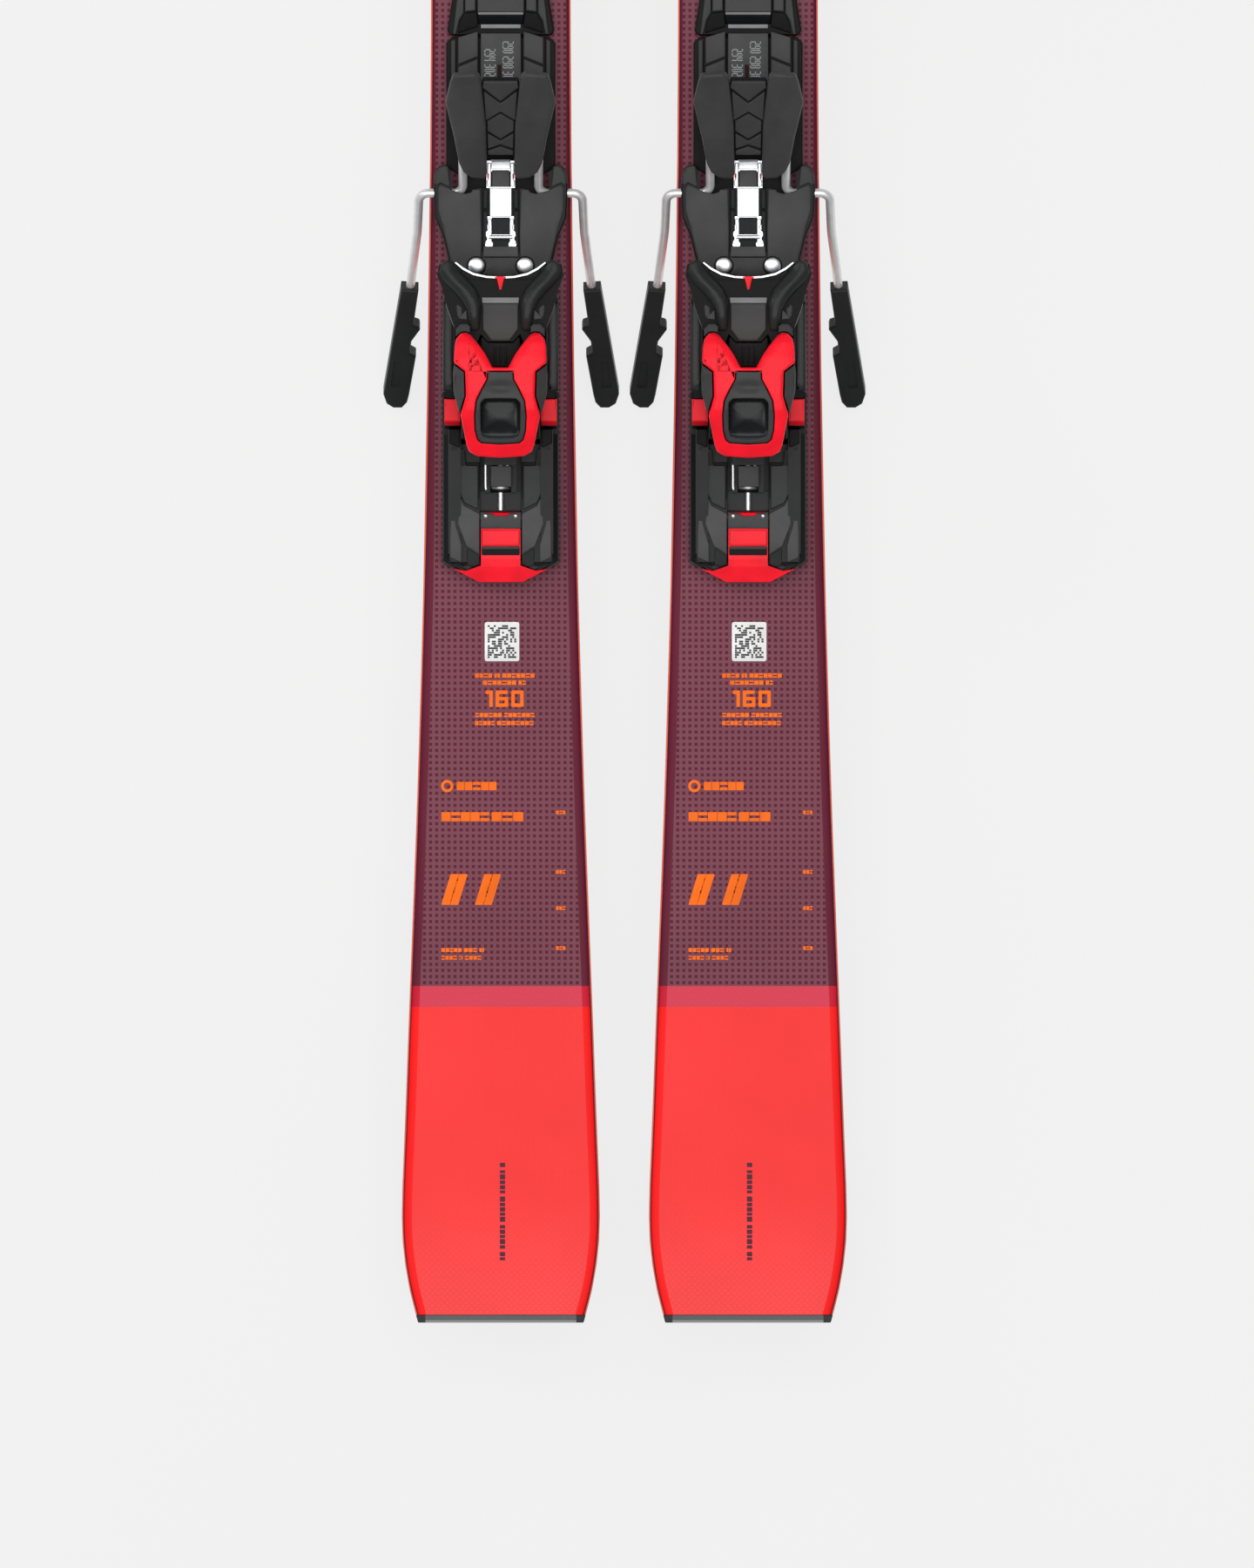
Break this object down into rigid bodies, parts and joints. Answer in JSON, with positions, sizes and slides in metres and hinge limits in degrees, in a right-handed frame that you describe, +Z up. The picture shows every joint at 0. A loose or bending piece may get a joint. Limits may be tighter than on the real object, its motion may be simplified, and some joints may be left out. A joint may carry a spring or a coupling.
{
  "type": "pair of alpine skis with bindings",
  "caption": "Carving skis with turned-up tips, layered build, rail-mounted step-in bindings, sprung toe jaws, step-out heel levers and released brakes.",
  "frame": {"origin": "middle of the pair's footprint, on the surface the released brake arms stand on", "axes": "+X across the pair to the right when facing the tips, +Y along the skis from tail to tip, +Z up"},
  "size_m": [0.243, 1.62, 0.1367],
  "materials": {
    "base_sheet": "sintered, wax-dull",
    "steel_edges": "ground",
    "wood_core": "sanded, laminated strips",
    "sidewalls": "milled",
    "topsheet": "lacquered sheet with a printed dot screen",
    "end_protectors": "moulded",
    "toe_track": "moulded, fine grain",
    "heel_track": "moulded, fine grain",
    "track_screws": "zinc plated",
    "toe_housing": "moulded",
    "toe_jaws": "moulded",
    "toe_jaw_pins": "ground",
    "springs": "drawn wire",
    "toe_release_screw": "turned",
    "afd_plate": "smooth low-friction",
    "heel_carriage": "moulded, fine grain",
    "length_strap": "stamped and plated",
    "heel_housing": "moulded",
    "heel_lever": "moulded, satin",
    "heel_axle": "ground pin",
    "heel_release_screw": "turned",
    "size_lock_lever": "moulded, satin",
    "brake_base": "moulded",
    "brake_pedal": "moulded, ribbed",
    "brake_wire": "bent spring wire",
    "brake_tips": "moulded"
  },
  "bodies": {
    "left_ski": {"left_ski_base_sheet": "base_sheet", "left_ski_steel_edges": "steel_edges", "left_ski_wood_core": "wood_core", "left_ski_sidewalls": "sidewalls", "left_ski_topsheet": "topsheet", "left_ski_end_protectors": "end_protectors", "left_ski_toe_track": "toe_track", "left_ski_heel_track": "heel_track", "left_ski_track_screws": "track_screws", "left_ski_toe_housing": "toe_housing", "left_ski_toe_jaw_pins": "toe_jaw_pins", "left_ski_toe_spring": "springs"},
    "left_toe_jaw_l": {"left_ski_toe_jaw_left": "toe_jaws"},
    "left_toe_jaw_r": {"left_ski_toe_jaw_right": "toe_jaws"},
    "left_afd": {"left_ski_afd_plate": "afd_plate"},
    "left_toe_screw": {"left_ski_toe_release_screw": "toe_release_screw"},
    "left_heel_carriage": {"left_ski_heel_carriage": "heel_carriage", "left_ski_heel_axle": "heel_axle", "left_ski_length_strap": "length_strap", "left_ski_heel_spring": "springs", "left_ski_brake_base": "brake_base"},
    "left_heel_screw": {"left_ski_heel_release_screw": "heel_release_screw"},
    "left_heel_piece": {"left_ski_heel_housing": "heel_housing"},
    "left_heel_lever": {"left_ski_heel_lever": "heel_lever"},
    "left_size_lock": {"left_ski_size_lock_lever": "size_lock_lever"},
    "left_brake": {"left_ski_brake_pedal": "brake_pedal"},
    "left_brake_arm_l": {"left_ski_brake_arm_left": "brake_wire", "left_ski_brake_tip_left": "brake_tips"},
    "left_brake_arm_r": {"left_ski_brake_arm_right": "brake_wire", "left_ski_brake_tip_right": "brake_tips"},
    "right_ski": {"right_ski_base_sheet": "base_sheet", "right_ski_steel_edges": "steel_edges", "right_ski_wood_core": "wood_core", "right_ski_sidewalls": "sidewalls", "right_ski_topsheet": "topsheet", "right_ski_end_protectors": "end_protectors", "right_ski_toe_track": "toe_track", "right_ski_heel_track": "heel_track", "right_ski_track_screws": "track_screws", "right_ski_toe_housing": "toe_housing", "right_ski_toe_jaw_pins": "toe_jaw_pins", "right_ski_toe_spring": "springs"},
    "right_toe_jaw_l": {"right_ski_toe_jaw_left": "toe_jaws"},
    "right_toe_jaw_r": {"right_ski_toe_jaw_right": "toe_jaws"},
    "right_afd": {"right_ski_afd_plate": "afd_plate"},
    "right_toe_screw": {"right_ski_toe_release_screw": "toe_release_screw"},
    "right_heel_carriage": {"right_ski_heel_carriage": "heel_carriage", "right_ski_heel_axle": "heel_axle", "right_ski_length_strap": "length_strap", "right_ski_heel_spring": "springs", "right_ski_brake_base": "brake_base"},
    "right_heel_screw": {"right_ski_heel_release_screw": "heel_release_screw"},
    "right_heel_piece": {"right_ski_heel_housing": "heel_housing"},
    "right_heel_lever": {"right_ski_heel_lever": "heel_lever"},
    "right_size_lock": {"right_ski_size_lock_lever": "size_lock_lever"},
    "right_brake": {"right_ski_brake_pedal": "brake_pedal"},
    "right_brake_arm_l": {"right_ski_brake_arm_left": "brake_wire", "right_ski_brake_tip_left": "brake_tips"},
    "right_brake_arm_r": {"right_ski_brake_arm_right": "brake_wire", "right_ski_brake_tip_right": "brake_tips"}
  },
  "joints": [
    {"name": "left_toe_jaw_l_swing", "type": "hinge", "parent": "left_ski", "child": "left_toe_jaw_l", "pos_m": [-0.0766, 0.024, 0.09866], "axis": [0, 0, -1], "range_deg": [0, 24], "stiffness_Nm_per_rad": 18, "springref_deg": -20.05},
    {"name": "left_toe_jaw_r_swing", "type": "hinge", "parent": "left_ski", "child": "left_toe_jaw_r", "pos_m": [-0.0476, 0.024, 0.09866], "axis": [0, 0, 1], "range_deg": [0, 24], "stiffness_Nm_per_rad": 18, "springref_deg": -20.05},
    {"name": "left_afd_slide", "type": "slide", "parent": "left_ski", "child": "left_afd", "axis": [1, 0, 0], "range_m": [-0.008, 0.008], "stiffness_N_per_m": 400},
    {"name": "left_toe_setting_turn", "type": "hinge", "parent": "left_ski", "child": "left_toe_screw", "pos_m": [-0.0621, 0.09, 0.09166], "axis": [0, 1, 0], "continuous": true},
    {"name": "left_heel_adjust", "type": "slide", "parent": "left_ski", "child": "left_heel_carriage", "axis": [0, 1, 0], "range_m": [-0.015, 0.016]},
    {"name": "left_heel_open", "type": "hinge", "parent": "left_heel_carriage", "child": "left_heel_piece", "pos_m": [-0.0621, -0.352, 0.09066], "axis": [1, 0, 0], "range_deg": [0, 40]},
    {"name": "left_heel_lever_turn", "type": "hinge", "parent": "left_heel_piece", "child": "left_heel_lever", "pos_m": [-0.0621, -0.338, 0.10966], "axis": [1, 0, 0], "range_deg": [0, 10]},
    {"name": "left_heel_setting_turn", "type": "hinge", "parent": "left_heel_carriage", "child": "left_heel_screw", "pos_m": [-0.0621, -0.386, 0.08026], "axis": [0, 1, 0], "continuous": true},
    {"name": "left_size_lock_lift", "type": "hinge", "parent": "left_heel_carriage", "child": "left_size_lock", "pos_m": [-0.0621, -0.4055, 0.07866], "axis": [-1, 0, 0], "range_deg": [0, 30], "stiffness_Nm_per_rad": 0.06, "springref_deg": -57.3},
    {"name": "left_brake_swing", "type": "hinge", "parent": "left_heel_carriage", "child": "left_brake", "pos_m": [-0.0621, -0.2428, 0.07666], "axis": [-1, 0, 0], "range_deg": [0, 35], "stiffness_Nm_per_rad": 4, "springref_deg": -85.94},
    {"name": "left_brake_arm_l_draw_in", "type": "slide", "parent": "left_brake", "child": "left_brake_arm_l", "axis": [1, 0, 0], "range_m": [0, 0.004]},
    {"name": "left_brake_arm_r_draw_in", "type": "slide", "parent": "left_brake", "child": "left_brake_arm_r", "axis": [-1, 0, 0], "range_m": [0, 0.004]},
    {"name": "skis_apart", "type": "slide", "parent": "left_ski", "child": "right_ski", "axis": [1, 0, 0], "range_m": [0, 0.15]},
    {"name": "right_toe_jaw_l_swing", "type": "hinge", "parent": "right_ski", "child": "right_toe_jaw_l", "pos_m": [0.0476, 0.024, 0.09866], "axis": [0, 0, -1], "range_deg": [0, 24], "stiffness_Nm_per_rad": 18, "springref_deg": -20.05},
    {"name": "right_toe_jaw_r_swing", "type": "hinge", "parent": "right_ski", "child": "right_toe_jaw_r", "pos_m": [0.0766, 0.024, 0.09866], "axis": [0, 0, 1], "range_deg": [0, 24], "stiffness_Nm_per_rad": 18, "springref_deg": -20.05},
    {"name": "right_afd_slide", "type": "slide", "parent": "right_ski", "child": "right_afd", "axis": [1, 0, 0], "range_m": [-0.008, 0.008], "stiffness_N_per_m": 400},
    {"name": "right_toe_setting_turn", "type": "hinge", "parent": "right_ski", "child": "right_toe_screw", "pos_m": [0.0621, 0.09, 0.09166], "axis": [0, 1, 0], "continuous": true},
    {"name": "right_heel_adjust", "type": "slide", "parent": "right_ski", "child": "right_heel_carriage", "axis": [0, 1, 0], "range_m": [-0.015, 0.016]},
    {"name": "right_heel_open", "type": "hinge", "parent": "right_heel_carriage", "child": "right_heel_piece", "pos_m": [0.0621, -0.352, 0.09066], "axis": [1, 0, 0], "range_deg": [0, 40]},
    {"name": "right_heel_lever_turn", "type": "hinge", "parent": "right_heel_piece", "child": "right_heel_lever", "pos_m": [0.0621, -0.338, 0.10966], "axis": [1, 0, 0], "range_deg": [0, 10]},
    {"name": "right_heel_setting_turn", "type": "hinge", "parent": "right_heel_carriage", "child": "right_heel_screw", "pos_m": [0.0621, -0.386, 0.08026], "axis": [0, 1, 0], "continuous": true},
    {"name": "right_size_lock_lift", "type": "hinge", "parent": "right_heel_carriage", "child": "right_size_lock", "pos_m": [0.0621, -0.4055, 0.07866], "axis": [-1, 0, 0], "range_deg": [0, 30], "stiffness_Nm_per_rad": 0.06, "springref_deg": -57.3},
    {"name": "right_brake_swing", "type": "hinge", "parent": "right_heel_carriage", "child": "right_brake", "pos_m": [0.0621, -0.2428, 0.07666], "axis": [-1, 0, 0], "range_deg": [0, 35], "stiffness_Nm_per_rad": 4, "springref_deg": -85.94},
    {"name": "right_brake_arm_l_draw_in", "type": "slide", "parent": "right_brake", "child": "right_brake_arm_l", "axis": [1, 0, 0], "range_m": [0, 0.004]},
    {"name": "right_brake_arm_r_draw_in", "type": "slide", "parent": "right_brake", "child": "right_brake_arm_r", "axis": [-1, 0, 0], "range_m": [0, 0.004]}
  ],
  "couplings": [
    {"joint": "left_heel_lever_turn", "follows": "left_heel_open", "ratio": 0.25},
    {"joint": "left_brake_arm_l_draw_in", "follows": "left_brake_swing", "m_per_rad": 0.006548},
    {"joint": "left_brake_arm_r_draw_in", "follows": "left_brake_swing", "m_per_rad": 0.006548},
    {"joint": "right_heel_lever_turn", "follows": "right_heel_open", "ratio": 0.25},
    {"joint": "right_brake_arm_l_draw_in", "follows": "right_brake_swing", "m_per_rad": 0.006548},
    {"joint": "right_brake_arm_r_draw_in", "follows": "right_brake_swing", "m_per_rad": 0.006548}
  ]
}
